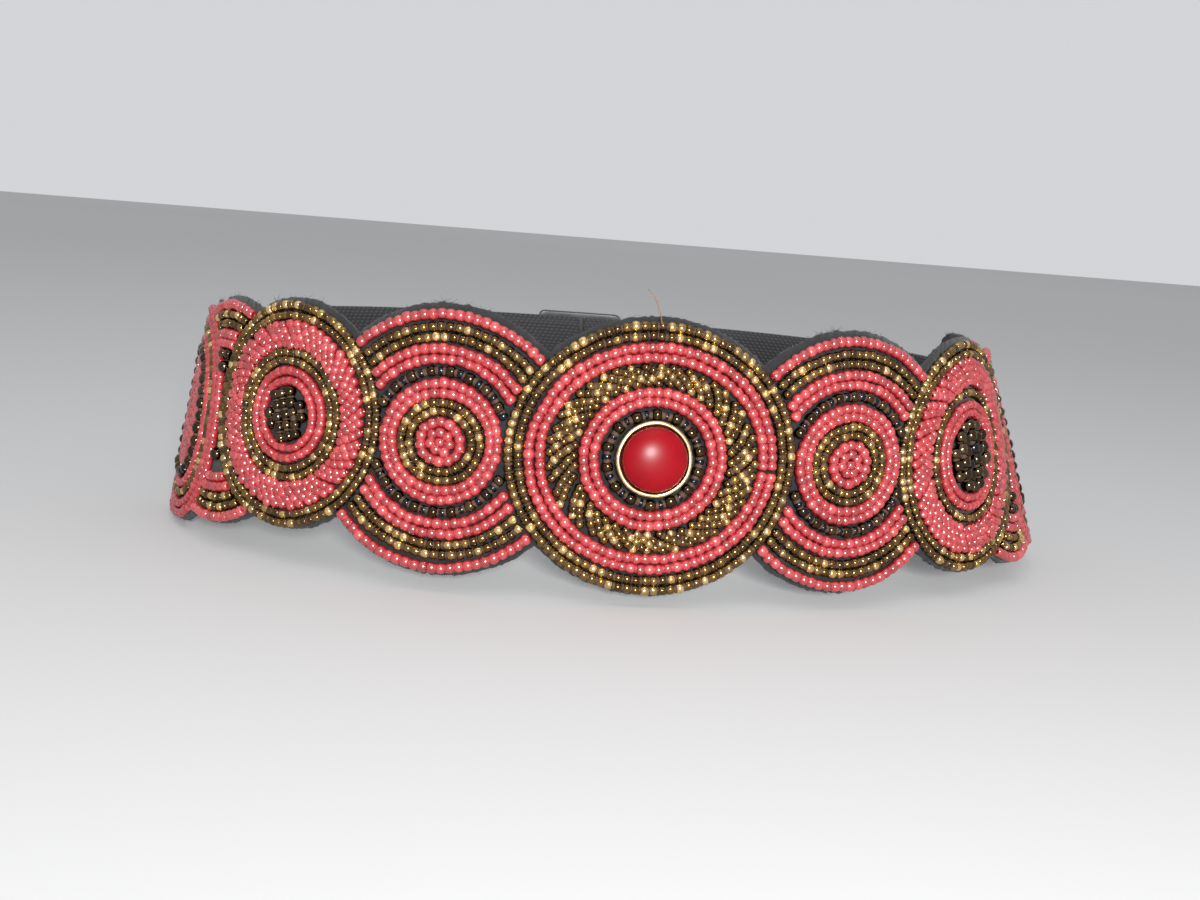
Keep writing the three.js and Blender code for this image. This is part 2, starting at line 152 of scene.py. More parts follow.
def emboss(tree, inputs, height, strength, distance):
    bump = put(tree, "ShaderNodeBump", {"Height": height, "Strength": strength, "Distance": distance})
    fill(tree, inputs["Normal"], bump)


print("helpers ready")

# %% [markdown]
# ## Floor and light
# A plain pale floor lies just under the belt's lowest edge. Beads are judged by their highlights, so the
# light matters: one small disc behind the camera puts a bright dot on every bead, as in the photograph,
# and a wide, weak light from above and an even grey surround keep the shadows open.

# %% Floor and light
FLOOR_HALF, FLOOR_DROP = 6, 0.0002
floor_z = cad_box[0].z - FLOOR_DROP
floor_mesh = bpy.data.meshes.new("floor")
corners = [(x * FLOOR_HALF, y * FLOOR_HALF, floor_z) for x, y in ((-1, -1), (1, -1), (1, 1), (-1, 1))]
floor_mesh.from_pydata(corners, [], [(0, 1, 2, 3)])
floor = bpy.data.objects.new("floor", floor_mesh)
scene.collection.objects.link(floor)
floor_finish, tree, inputs = new_finish("floor_paint", Roughness=0.8)
grain = put(tree, "ShaderNodeTexNoise", {"Scale": 3.0, "Detail": 3.0})
colour(tree, inputs, grain, [(0.3, (0.48, 0.48, 0.48)), (0.7, (0.52, 0.52, 0.51))])
floor_mesh.materials.append(floor_finish)


def add_light(name, place, target, size, watts):
    light = bpy.data.lights.new(name, "AREA")
    light.shape = "DISK"
    light.size = size
    light.energy = watts
    lamp = bpy.data.objects.new(name, light)
    lamp.location = place
    lamp.rotation_euler = (Vector(target) - Vector(place)).to_track_quat("-Z", "Y").to_euler()
    scene.collection.objects.link(lamp)


BELT_FRONT = (0, -0.09, 0)
add_light("key", (-0.01, -0.74, 0.17), BELT_FRONT, 0.15, 9)
add_light("overhead", (-0.1, -0.3, 1.3), (0, 0, 0), 1.4, 4)
world = bpy.data.worlds.new("surround")
scene.world = world
world.use_nodes = True
surround = world.node_tree.nodes["Background"].inputs
surround["Color"].default_value = (0.62, 0.63, 0.65, 1)
surround["Strength"].default_value = 1.05
scene.view_settings.view_transform = "Standard"
print("floor at", round(floor_z, 4))

# %% [markdown]
# ## Drawing on a belt that bends
# It is far easier to lay out a belt flat: s millimetres round the waist from the middle of the front, t
# millimetres up, and out millimetres off the cloth. A Curve modifier could bend flat beads round a waist,
# but it would stretch them. So every point is laid out flat and then carried to the waist by one rule,
# the same as the solid model's: the waist is a rounded oval that widens downwards and leans a little to
# the left, and s is measured along it at each height. At the front a point also slides round against the
# lean, which keeps the medallions upright, as they are on the real belt.

# %% The waist's oval
MM = 0.001
WAIST_HALF_WIDTH, WAIST_HALF_DEPTH, WAIST_SQUARENESS = 130.6, 89.6, 2.2
SIDE_FLARE, FRONT_FLARE, UPRIGHT = 0.28, 0.1, 0.98
SIDE_LEAN, LEAN_REACH = 0.105, 120
LEVEL_STEP, OVAL_STEPS = 5, 720
GIRTH_LEVELS = np.arange(-9, 10)
TURNS = np.linspace(0, math.pi, OVAL_STEPS + 1)
levels = {}


def power(value, exponent):
    return np.sign(value) * np.abs(value) ** exponent


def oval_point(angle, t, out):
    z = t * UPRIGHT
    wide = WAIST_HALF_WIDTH - SIDE_FLARE * z + out
    deep = WAIST_HALF_DEPTH - FRONT_FLARE * z + out
    x = power(np.sin(angle), 2 / WAIST_SQUARENESS) * wide - SIDE_LEAN * z
    y = -power(np.cos(angle), 2 / WAIST_SQUARENESS) * deep
    return np.stack([x, y, z + 0 * x], axis=-1)


def lengths_at(level):
    if level not in levels:
        points = oval_point(TURNS, level * LEVEL_STEP, 0)
        steps = np.linalg.norm(np.diff(points, axis=0), axis=1)
        levels[level] = np.concatenate([[0], np.cumsum(steps)])
    return levels[level]


def half_girth(t):
    girths = [lengths_at(level)[-1] for level in GIRTH_LEVELS]
    return np.interp(t, GIRTH_LEVELS * LEVEL_STEP, girths)


def slide(s, t):
    fade = np.maximum(0, 1 - (s / half_girth(t)) ** 2)
    return SIDE_LEAN * t * UPRIGHT * (1 + (s / LEAN_REACH) ** 2) * fade**2


def on_belt(s, t, out):
    s, t, out = np.broadcast_arrays(*(np.asarray(v, dtype=float) for v in (s, t, out)))
    level = np.floor(t / LEVEL_STEP).astype(int)
    part = t / LEVEL_STEP - level
    along = s + slide(s, t)
    angle = np.empty(s.shape)
    for value in np.unique(level):
        here = level == value
        low, high = (np.interp(np.abs(along[here]), lengths_at(v), TURNS) for v in (value, value + 1))
        angle[here] = low * (1 - part[here]) + high * part[here]
    return oval_point(np.sign(along) * angle, t, out) * MM


print("half the girth at mid height:", round(float(half_girth(0)), 1), "mm")

# %% [markdown]
# ## The medallions' plan
# Each medallion is an oval made of fields, one inside another: rings of coral, bronze or gunmetal beads.
# The sizes are the solid model's: a field's width at the sides and at the top is a share of the room that
# its medallion has. Keeping one short table of them, and one rule that turns it into ovals, means that
# beads, felt and solids can't drift apart.

# %% The medallions
GAP, SIDE_CLEARANCE, CLOTH_MARGIN = 0.3, 0.5, 1.3
BEZEL_RADIUS = 10.2
BAND_HEIGHT, BAND_TUCK = 44, 12
CENTRE_FIELDS = [
    ("gunmetal_ring", 1, 12.5, 13.5),
    ("coral_inner", 2, 20, 20),
    ("bronze_twist", 3, 29.5, 23.5),
    ("coral_outer", 2, 20, 21.5),
    ("rim", 2, 18, 21.5),
]
INNER_FIELDS = [
    ("heart", 1, 19.6, 19.8),
    ("bronze_ring", 2, 14, 13.6),
    ("coral_ring", 2, 12, 14.5),
    ("gunmetal", 1, 10, 9.7),
    ("coral", 2, 17, 15.9),
    ("bronze", 2, 17, 15.6),
    ("edge", 1, 10.4, 10.9),
]
MIDDLE_LEFT_FIELDS = [
    ("cluster", 1, 25.8, 25.2),
    ("coral_ring", 2, 19.6, 18.7),
    ("bronze_ring", 2, 15.5, 15.6),
    ("coral_field", 3, 23.6, 23.5),
    ("rim", 2, 15.5, 17),
]
MIDDLE_RIGHT_FIELDS = [
    ("cluster", 1, 32.9, 33),
    ("coral_ring", 2, 16, 16.2),
    ("bronze_ring", 1, 10.2, 11.1),
    ("coral_field", 3, 24.9, 23.7),
    ("rim", 2, 16, 16),
]
OUTER_FIELDS = [
    ("heart", 1, 44.9, 54.5),
    ("gunmetal_ring", 1, 13.2, 9.9),
    ("coral_ring", 1, 11.9, 9),
    ("bronze_ring", 1, 10.7, 8),
    ("rim", 2, 19.3, 18.6),
]


class Medallion:
    def __init__(self, name, s, t, half, fields=(), start=0, squareness=2):
        self.name, self.s, self.t, self.squareness = name, s, t, squareness
        self.wide, self.tall = half
        self.fields = {}
        gaps = GAP * (len(fields) if start else len(fields) - 1)
        wide = tall = start
        for index, (field, rows, side, top) in enumerate(fields):
            gap = GAP if start or index else 0
            inner = (wide + gap, tall + gap)
            wide = inner[0] + (half[0] - start - gaps) * side / 100
            tall = inner[1] + (half[1] - start - gaps) * top / 100
            self.fields[field] = (rows, inner, (wide, tall))

    def oval(self, angle, wide, tall):
        s = self.s + wide * power(np.sin(angle), 2 / self.squareness)
        return s, self.t + tall * power(np.cos(angle), 2 / self.squareness)

    def covers(self, s, t, margin):
        across = np.abs(s - self.s) / (self.wide + margin)
        along = np.abs(t - self.t) / (self.tall + margin)
        return across**self.squareness + along**self.squareness < 1


CENTRE_HALF, INNER_HALF, OUTER_HALF, NOTCH_RADIUS = (38.9, 36.8), (36, 35.7), (25.5, 32.6), 32
centre = Medallion("centre", 0, 0, CENTRE_HALF, CENTRE_FIELDS, BEZEL_RADIUS)
whole_wide = Medallion("plan", 0, 0, INNER_HALF, INNER_FIELDS).fields["coral_ring"][2][0]
inner_at = CENTRE_HALF[0] + SIDE_CLEARANCE + whole_wide
SIDES = {}
for side, way, middle_half, middle_rise, middle_fields, outer_rise in (
    ("left", -1, (28.7, 31.2), 1.9, MIDDLE_LEFT_FIELDS, -6),
    ("right", 1, (31, 33.4), 1.2, MIDDLE_RIGHT_FIELDS, -1),
):
    middle_at = inner_at + whole_wide + SIDE_CLEARANCE + middle_half[0]
    outer_at = middle_at + middle_half[0] + SIDE_CLEARANCE + OUTER_HALF[0]
    notch_at = middle_at + middle_half[0] + SIDE_CLEARANCE / 2
    SIDES[side] = {
        "way": way,
        "inner": Medallion(f"{side}_inner", way * inner_at, 0.3, INNER_HALF, INNER_FIELDS),
        "middle": Medallion(f"{side}_middle", way * middle_at, middle_rise, middle_half, middle_fields),
        "outer": Medallion(f"{side}_outer", way * outer_at, outer_rise, OUTER_HALF, OUTER_FIELDS, 0, 2.3),
        "notch": Medallion(f"{side}_notch", way * notch_at, -1.5, (NOTCH_RADIUS, NOTCH_RADIUS)),
        "end": outer_at + OUTER_HALF[0] + CLOTH_MARGIN,
    }
everything = [centre] + [side[k] for side in SIDES.values() for k in ("inner", "middle", "outer", "notch")]
for medallion in everything:
    print(medallion.name, "at s", round(medallion.s, 1), "mm")

# %% [markdown]
# ## Bead finishes
# There are three kinds of bead. Coral ones are opaque glass with a soft shine. Bronze ones are glass with
# a metallic coat, golden where they catch the light and olive brown elsewhere. Gunmetal ones have a
# nearly black coat that turns from blue to brown. No two beads in a string are quite alike, so each bead
# carries a number of its own, its tone, and a colour ramp turns that number into its shade. A second,
# finer noise gives each bead's surface a slight unevenness, so that highlights don't look printed.
# Light that passes through real coral glass makes the chinks between the beads glow deep red. Tracing it
# through thousands of beads would be slow, so the coral beads get a thick deep red thread instead.

# %% Bead finishes
CLOUDING = 0.24


def bead_finish(name, stops, rough, **surface):
    finish, tree, inputs = new_finish(name, **surface)
    tone = put(tree, "ShaderNodeAttribute", attribute_name="tone").outputs["Fac"]
    cloudy = noise(tree, 700.0, Detail=2.0)
    mixed = math_node(tree, "MULTIPLY_ADD", cloudy, CLOUDING, tone)
    colour(tree, inputs, math_node(tree, "SUBTRACT", mixed, CLOUDING / 2), stops)
    roughen(tree, inputs, cloudy, *rough, reach=(0.3, 0.7))
    emboss(tree, inputs, noise(tree, 2600.0, Detail=1.0), 0.12, 0.0001)
    return finish


coral_glass = bead_finish(
    "coral_glass",
    [(0, (0.19, 0.0085, 0.01)), (0.35, (0.265, 0.014, 0.017)),
     (0.75, (0.31, 0.021, 0.025)), (1, (0.37, 0.042, 0.045))],
    (0.2, 0.34), Coat_Weight=0.6, Coat_Roughness=0.17, Coat_IOR=2.0,
)
bronze_glass = bead_finish(
    "bronze_glass",
    [(0, (0.08, 0.043, 0.013)), (0.35, (0.145, 0.078, 0.019)),
     (0.7, (0.26, 0.15, 0.04)), (1, (0.85, 0.58, 0.22))],
    (0.15, 0.21), Metallic=0.97, Coat_Weight=0.12, Coat_Roughness=0.14, Coat_IOR=2.0,
)
gunmetal_glass = bead_finish(
    "gunmetal_glass",
    [(0, (0.03, 0.035, 0.05)), (0.07, (0.05, 0.034, 0.02)),
     (0.6, (0.065, 0.044, 0.026)), (1, (0.13, 0.088, 0.05))],
    (0.13, 0.18), Metallic=1.0,
)


def thread_like(name, roughness, dark, light, scale=1500.0):
    finish, tree, inputs = new_finish(name, Roughness=roughness)
    colour(tree, inputs, noise(tree, scale), [(0.3, dark), (0.7, light)])
    return finish


thread_finish = thread_like("bead_thread", 0.85, (0.03, 0.015, 0.006), (0.08, 0.04, 0.016))
# the coral rows' thread is coloured deep red as painted glow, standing in for light shining through the
# coral glass into the chinks
painted_glow_thread_finish = thread_like("red_bead_thread", 0.6, (0.23, 0.012, 0.014), (0.34, 0.024, 0.027))
print("three bead finishes and two threads")

# %% [markdown]
# ## One bead
# A seed bead is a short piece of drawn glass tube whose cut ends were melted round. That is a ring with a
# lozenge-shaped section, so a few points turned about an axis make it, hole and all. A bead appears
# thousands of times here, so it has only a few dozen faces, and smooth shading hides them. Two helpers
# join rows of points with four-sided faces and make a mesh of them. Later pieces use them too.

# %% One bead
FULL_TURN = 2 * math.pi
BEAD_SIDES = 12
BEAD_SECTION = [(0.45, -0.9), (0.45, 0.9), (0.9, 1.15), (1.27, 0.74), (1.42, 0), (1.27, -0.74),
                (0.9, -1.15)]


def quads(lines, columns, closed_lines=False, closed_columns=False):
    def corner(i, j):
        return i % lines * columns + j % columns

    return [(corner(i, j), corner(i, j + 1), corner(i + 1, j + 1), corner(i + 1, j))
            for i in range(lines - 1 + closed_lines) for j in range(columns - 1 + closed_columns)]


def make_mesh(name, points, faces):
    mesh = bpy.data.meshes.new(name)
    mesh.from_pydata(points, [], faces)
    mesh.shade_smooth()
    return mesh


points = [(r * math.cos(a) * MM, r * math.sin(a) * MM, z * MM)
          for a in np.linspace(0, FULL_TURN, BEAD_SIDES, endpoint=False) for r, z in BEAD_SECTION]
faces = [face[1:] + face[:1] for face in quads(BEAD_SIDES, len(BEAD_SECTION), True, True)]
bead = bpy.data.objects.new("bead", make_mesh("bead", points, faces))
print("one bead has", len(faces), "faces")

# %% [markdown]
# ## Stringing beads along a row
# The maker strings beads on a thread, lays the string along a drawn line and stitches it down. Geometry
# Nodes can do the same: a row is drawn as a line, the line is divided by the beads' pitch, and a bead is
# put at each division, turned along the line. Array and Curve modifiers would give the same rows, but
# they would make every bead alike. Here each bead gets its own small shift, tilt, size and tone. Every
# second bead can be a smaller spacer. The thread itself is the same line with a thin round section.

# %% The bead row tree
def new_tree(name, sockets):
    tree = bpy.data.node_groups.new(name, "GeometryNodeTree")
    tree.interface.new_socket("Geometry", in_out="INPUT", socket_type="NodeSocketGeometry")
    tree.interface.new_socket("Geometry", in_out="OUTPUT", socket_type="NodeSocketGeometry")
    for socket, kind in sockets.items():
        tree.interface.new_socket(socket, in_out="INPUT", socket_type="NodeSocket" + kind)
    return tree, tree.nodes.new("NodeGroupInput").outputs, tree.nodes.new("NodeGroupOutput").inputs


def vector_node(tree, operation, values):
    return put(tree, "ShaderNodeVectorMath", values, operation=operation)


def random_value(tree, kind, low, high, seed, shift):
    node = put(tree, "FunctionNodeRandomValue", data_type=kind)
    low_high = [socket for socket in node.inputs if socket.name in ("Min", "Max") and socket.enabled]
    for socket, value in zip(low_high, (low, high)):
        fill(tree, socket, value)
    fill(tree, node.inputs["Seed"], math_node(tree, "ADD", seed, float(shift)))
    return next(socket for socket in node.outputs if socket.enabled)


def scatter(tree, reach, seed, shift):
    low, high = (vector_node(tree, "SCALE", {0: (way,) * 3, "Scale": reach}) for way in (-1, 1))
    return random_value(tree, "FLOAT_VECTOR", low, high, seed, shift)


ROW_SOCKETS = {"Bead": "Object", "Pitch": "Float", "Size": "Float", "Spacer": "Float", "Wander": "Float",
               "Tilt": "Float", "Uneven": "Float", "Thread": "Float", "Seed": "Int",
               "Finish": "Material", "Thread finish": "Material"}
tree, given, result = new_tree("bead_rows", ROW_SOCKETS)
line = put(tree, "GeometryNodeMeshToCurve", {"Mesh": given["Geometry"]})
length = put(tree, "GeometryNodeSplineLength")
cyclic = put(tree, "GeometryNodeInputSplineCyclic")
pitches = math_node(tree, "ROUND", math_node(tree, "DIVIDE", length, given["Pitch"]))
open_end = math_node(tree, "SUBTRACT", 1.0, cyclic)
count = math_node(tree, "MAXIMUM", math_node(tree, "ADD", pitches, open_end), 1.0)
divided = put(tree, "GeometryNodeResampleCurve", {"Curve": line, "Count": count}, mode="COUNT")
shift = scatter(tree, given["Wander"], given["Seed"], 1)
moved = put(tree, "GeometryNodeSetPosition", {"Geometry": divided, "Offset": shift})
tangent = put(tree, "GeometryNodeInputTangent")
along = put(tree, "FunctionNodeAlignRotationToVector", {"Vector": tangent}, axis="Z")
tilt = put(tree, "FunctionNodeEulerToRotation", {"Euler": scatter(tree, given["Tilt"], given["Seed"], 2)})
tilted = put(tree, "FunctionNodeRotateRotation", {"Rotation": along, "Rotate By": tilt},
             rotation_space="LOCAL")
odd = math_node(tree, "MODULO", put(tree, "GeometryNodeInputIndex"), 2.0)
smaller = math_node(tree, "SUBTRACT", given["Spacer"], 1.0)
alternate = math_node(tree, "MULTIPLY_ADD", odd, smaller, 1.0)
base_size = math_node(tree, "MULTIPLY", alternate, given["Size"])
differ = scatter(tree, given["Uneven"], given["Seed"], 3)
uneven = vector_node(tree, "MULTIPLY", {0: differ, 1: (0.5, 0.5, 1)})
nearly_one = vector_node(tree, "ADD", {0: uneven, 1: (1, 1, 1)})
sizes = vector_node(tree, "SCALE", {0: nearly_one, "Scale": base_size})
shape = put(tree, "GeometryNodeObjectInfo", {"Object": given["Bead"], "As Instance": True})
beads = put(tree, "GeometryNodeInstanceOnPoints",
            {"Points": moved, "Instance": shape.outputs["Geometry"], "Rotation": tilted, "Scale": sizes})
tone = random_value(tree, "FLOAT", 0.0, 1.0, given["Seed"], 4)
has_spacers = math_node(tree, "LESS_THAN", given["Spacer"], 1.0)
is_spacer = math_node(tree, "MULTIPLY", odd, has_spacers)
darker = math_node(tree, "MULTIPLY", tone, math_node(tree, "SUBTRACT", 1.0, is_spacer))
toned = put(tree, "GeometryNodeStoreNamedAttribute",
            {"Geometry": beads, "Name": "tone", "Value": darker}, data_type="FLOAT", domain="INSTANCE")
section = put(tree, "GeometryNodeCurvePrimitiveCircle", {"Resolution": 6, "Radius": given["Thread"]})
thread = put(tree, "GeometryNodeCurveToMesh", {"Curve": moved, "Profile Curve": section})
marked = put(tree, "GeometryNodeStoreNamedAttribute",
             {"Geometry": thread, "Name": "is_thread", "Value": True}, data_type="BOOLEAN", domain="FACE")
joined = put(tree, "GeometryNodeJoinGeometry")
fill(tree, joined.inputs[0], toned)
fill(tree, joined.inputs[0], marked)
real = put(tree, "GeometryNodeRealizeInstances", {"Geometry": joined})
glassy = put(tree, "GeometryNodeSetMaterial", {"Geometry": real, "Material": given["Finish"]})
on_thread = put(tree, "GeometryNodeInputNamedAttribute", {"Name": "is_thread"}, data_type="BOOLEAN")
finished = put(tree, "GeometryNodeSetMaterial",
               {"Geometry": glassy, "Material": given["Thread finish"], "Selection": on_thread})
fill(tree, result["Geometry"], finished)
row_tree = tree
print("bead row tree has", len(row_tree.nodes), "nodes")

# %% [markdown]
# ## From a tree to a plain mesh
# A modifier's inputs are set by the identifiers of their sockets, before Blender first evaluates the
# object. The evaluated result is then copied into a plain mesh and the modifier's host is thrown away, so
# that what is left is an ordinary piece, in place, that needs nothing else.

# %% Run a tree
total_faces = 0


def run_tree(name, tree, lines, closed, settings):
    points, edges = [], []
    for row in lines:
        first = len(points)
        points.extend(row)
        edges += [(first + i, first + i + 1) for i in range(len(row) - 1)]
        if closed:
            edges.append((len(points) - 1, first))
    drawn = bpy.data.meshes.new(name)
    drawn.from_pydata(points, edges, [])
    host = bpy.data.objects.new(name + "_lines", drawn)
    scene.collection.objects.link(host)
    modifier = host.modifiers.new("tree", "NODES")
    modifier.node_group = tree
    sockets = {item.name: item.identifier for item in tree.interface.items_tree if item.in_out == "INPUT"}
    for key, value in settings.items():
        modifier[sockets[key]] = value
    ready = host.evaluated_get(bpy.context.evaluated_depsgraph_get())
    mesh = bpy.data.meshes.new_from_object(ready)
    mesh.name = name
    bpy.data.objects.remove(host)
    bpy.data.meshes.remove(drawn)
    return mesh


def settle(name, mesh, nodes=(), finish=None):
    global total_faces
    if finish:
        mesh.materials.append(finish)
    piece = bpy.data.objects.new(name, mesh)
    scene.collection.objects.link(piece)
    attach(piece, "root")
    if nodes:
        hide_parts(*nodes)
    total_faces += len(mesh.polygons)
    return piece


KINDS = {
    # coral rows get a thicker thread whose deep red finish is painted glow of light through the glass
    "coral": {"Pitch": 2.45, "Size": 1.08, "Finish": coral_glass, "Thread finish": painted_glow_thread_finish,
              "Thread": 1.25 * MM},
    "bronze": {"Pitch": 2.38, "Size": 0.97, "Finish": bronze_glass},
    "gunmetal": {"Pitch": 2.75, "Size": 1.12, "Finish": gunmetal_glass},
}
SMALLER = {"Pitch": 2.12, "Size": 0.92}
BEAD_MIDDLE = {"coral": 1.45, "bronze": 1.35, "gunmetal": 1.65}
seed = 0


def string_beads(name, kind, rows, closed, nodes, **changes):
    global seed
    seed += 1
    settings = {"Bead": bead, "Spacer": 1.0, "Wander": 0.13, "Tilt": 0.18, "Uneven": 0.12,
                "Thread": 1.08 * MM, "Seed": seed, "Thread finish": thread_finish, **KINDS[kind], **changes}
    settings["Pitch"] *= MM
    settings["Wander"] *= MM
    name = "beads_" + name
    mesh = run_tree(name, row_tree, rows, closed, settings)
    settle(name, mesh, nodes)
    print(name, len(mesh.polygons), "faces")


# %% [markdown]
# ## Rows in rings
# Most fields are rings of rows. A drawn line is never a perfect oval on a hand-sewn belt, so each row
# waves by a few tenths of a millimetre, with its waves chosen from a seeded random source: the same every
# time the script runs. The centre's outer coral rings show where their ends meet, as a small dark chink.

# %% Draw the ring rows
RING_POINTS = 160
SEAM_OPENING, SEAM_AT = math.radians(2.8), math.radians(94)
ROW_WAVE, HEIGHT_WAVE = 0.16, 0.08
hand = np.random.default_rng(7)


def waves(angle, size):
    sway = 0 * angle
    for cycles in (2, 3, 5, 8):
        sway = sway + math.sqrt(2 / cycles) * np.sin(cycles * angle + hand.uniform(0, FULL_TURN))
    return sway * size / 2


def ring_row(medallion, wide, tall, middle, seam=None):
    angle = np.linspace(0, FULL_TURN, RING_POINTS, endpoint=False)
    if seam is not None:
        angle = np.linspace(seam + SEAM_OPENING, seam + FULL_TURN - SEAM_OPENING, RING_POINTS)
    sway = waves(angle, ROW_WAVE)
    s, t = medallion.oval(angle, wide + sway, tall + sway)
    return on_belt(s, t, middle + waves(angle, HEIGHT_WAVE))


def row_sizes(field):
    count, inner, outer = field
    shares = (np.arange(count) + 0.5) / count
    return [(inner[0] + (outer[0] - inner[0]) * k, inner[1] + (outer[1] - inner[1]) * k) for k in shares]


def bead_rings(medallion, field, kind, seam=None, **changes):
    sizes = row_sizes(medallion.fields[field])
    rows = [ring_row(medallion, wide, tall, BEAD_MIDDLE[kind], seam) for wide, tall in sizes]
    name = f"{medallion.name}_{field}"
    string_beads(name, kind, rows, seam is None, [name], **changes)


bead_rings(centre, "gunmetal_ring", "gunmetal", Spacer=0.7, Pitch=2.75, Size=1.15)
bead_rings(centre, "coral_inner", "coral")
bead_rings(centre, "coral_outer", "coral", seam=SEAM_AT)
bead_rings(centre, "rim", "bronze")
for side in SIDES.values():
    bead_rings(side["inner"], "bronze_ring", "bronze")
    bead_rings(side["inner"], "coral_ring", "coral")
    bead_rings(side["middle"], "coral_ring", "coral", Pitch=2.2, Size=0.95)
    bead_rings(side["middle"], "bronze_ring", "bronze", **SMALLER)
    bead_rings(side["middle"], "rim", "bronze", **SMALLER)
    bead_rings(side["outer"], "gunmetal_ring", "gunmetal", Pitch=3.7, Size=1.32)
    bead_rings(side["outer"], "coral_ring", "coral", **SMALLER)
    bead_rings(side["outer"], "bronze_ring", "bronze", **SMALLER)
    bead_rings(side["outer"], "rim", "coral", **SMALLER)

# %% [markdown]
# ## Slanting stitches
# Two kinds of field are filled with short slanting rows, as in satin stitch: the twisted bronze rope of
# the centre medallion, and the wide coral fields of the middle ones. A short row starts on the field's
# inner oval and ends further round on the outer one. The beads of the rope ride up in the middle.

# %% Draw the slanting rows
TWIST_LEAN, FIELD_LEAN = math.radians(-52), math.radians(-36)
TWIST_RISE, FIELD_RISE = 0.5, 0.3
SLANT_SPACING, SLANT_INSET, SLANT_POINTS = 2.05, 0.9, 9
TURN_SLIP, REACH_SLIP, LIFT_SLIP = 0.008, 0.03, (-0.1, 0.25)


def bead_slants(medallion, field, kind, lean, rise, **changes):
    _, inner, outer = medallion.fields[field]
    inner, outer = ([size + SLANT_INSET for size in inner], [size - SLANT_INSET for size in outer])
    middle = (inner[0] + inner[1] + outer[0] + outer[1]) / 4
    depth = (outer[0] + outer[1] - inner[0] - inner[1]) / 2
    turn = math.tan(lean) * depth / middle
    count = round(FULL_TURN * middle * math.cos(lean) / SLANT_SPACING)
    rows = []
    for start in np.linspace(0, FULL_TURN, count, endpoint=False):
        share = np.linspace(0, 1, SLANT_POINTS)
        angle = start + hand.normal(0, TURN_SLIP) + turn * (share - 0.5)
        reach = share + hand.normal(0, REACH_SLIP)
        s, t = medallion.oval(angle, inner[0] + (outer[0] - inner[0]) * reach,
                              inner[1] + (outer[1] - inner[1]) * reach)
        lift = rise * np.sin(math.pi * share) + hand.uniform(*LIFT_SLIP)
        rows.append(on_belt(s, t, BEAD_MIDDLE[kind] + lift))
    name = f"{medallion.name}_{field}"
    string_beads(name, kind, rows, False, [name], **changes)


bead_slants(centre, "bronze_twist", "bronze", TWIST_LEAN, TWIST_RISE,
            Wander=0.2, Tilt=0.35, Pitch=2.1, Size=0.93)
for side in SIDES.values():
    bead_slants(side["middle"], "coral_field", "coral", FIELD_LEAN, FIELD_RISE,
                Wander=0.2, Tilt=0.25, Pitch=2.15, Size=1.0)

# %% [markdown]
# ## Filled middles
# The inner and outer medallions have a heart filled with coral beads, and the middle ones a cluster of
# large dark beads. A heart is sewn as rings inside one another until no more fit. A cluster is sewn as
# short straight rows that run up and down, a little turned, clipped to the oval it fills.

# %% Fill the middles
HEART_STEP, HEART_INSET = 2.7, 1.4
SMALLEST_RING, SHORTEST_CORE = 0.8 * HEART_STEP, 0.1
CLUSTER_LEAN, CLUSTER_INSET = math.radians(108), 1.6
CLUSTER_REACH, CLUSTER_LIFT = 0.94, 0.4
CLUSTER_BEADS = {"left": (2.95, 2.75, 1.14), "right": (3.7, 3.4, 1.36)}


def heart_rows(medallion):
    rows = []
    wide, tall = (size - HEART_INSET for size in medallion.fields["heart"][2])
    while min(wide, tall) > SMALLEST_RING:
        rows.append(ring_row(medallion, wide, tall, BEAD_MIDDLE["coral"]))
        wide, tall = wide - HEART_STEP, tall - HEART_STEP
    reach = max(SHORTEST_CORE, tall - wide)
    core = on_belt(medallion.s, medallion.t + np.linspace(-reach, reach, 9), BEAD_MIDDLE["coral"])
    return rows, [core]


def cluster_rows(medallion, step, pitch):
    half_row, half_depth = (size - CLUSTER_INSET for size in medallion.fields["cluster"][2][::-1])
    lines = max(2, round(2 * half_depth / step))
    rows = []
    for line in range(lines + 1):
        up = (line / lines - 0.5) * 2 * half_depth * CLUSTER_REACH
        reach = half_row * math.sqrt(1 - (up / half_depth) ** 2)
        beads = max(2, round(2 * reach / pitch) + 1)
        across = (np.linspace(0, 1, beads) - 0.5) * (beads - 1) * pitch
        s = medallion.s + across * math.cos(CLUSTER_LEAN) - up * math.sin(CLUSTER_LEAN)
        t = medallion.t + across * math.sin(CLUSTER_LEAN) + up * math.cos(CLUSTER_LEAN)
        rows.append(on_belt(s, t, BEAD_MIDDLE["gunmetal"] + hand.uniform(0, CLUSTER_LIFT)))
    return rows


for name, side in SIDES.items():
    for medallion in (side["inner"], side["outer"]):
        rings, core = heart_rows(medallion)
        node = medallion.name + "_heart"
        string_beads(node, "coral", rings, True, [node], Wander=0.2, Tilt=0.3)
        string_beads(node + "_core", "coral", core, False, [node], Wander=0.1)
    node = side["middle"].name + "_cluster"
    pitch, step, size = CLUSTER_BEADS[name]
    rows = cluster_rows(side["middle"], step, pitch)
    string_beads(node, "gunmetal", rows, False, [node], Pitch=pitch, Size=size, Wander=0.25, Tilt=0.3)

# %% [markdown]
# ## Rows that dive under a neighbour
# The inner medallions and the notches lie under their neighbours and show only as arcs above and below.
# An arc is drawn from its highest (or lowest) point towards each side until the medallion that covers it
# gets in the way. Testing where a row is covered is simpler than cutting beads, and no bead is ever cut.
# One large dark bead fills the point of each notch, where two medallions come close.

# %% Draw the arcs
ARC_LIMIT, ARC_STEPS, SHORTEST_ARC = 1.53, 400, 6
COVER_MARGIN = 1.5
ARC_WAVE = 0.14
POINT_AT, POINT_SIZE, POINT_LINE = 12.6, 1.3, 0.2


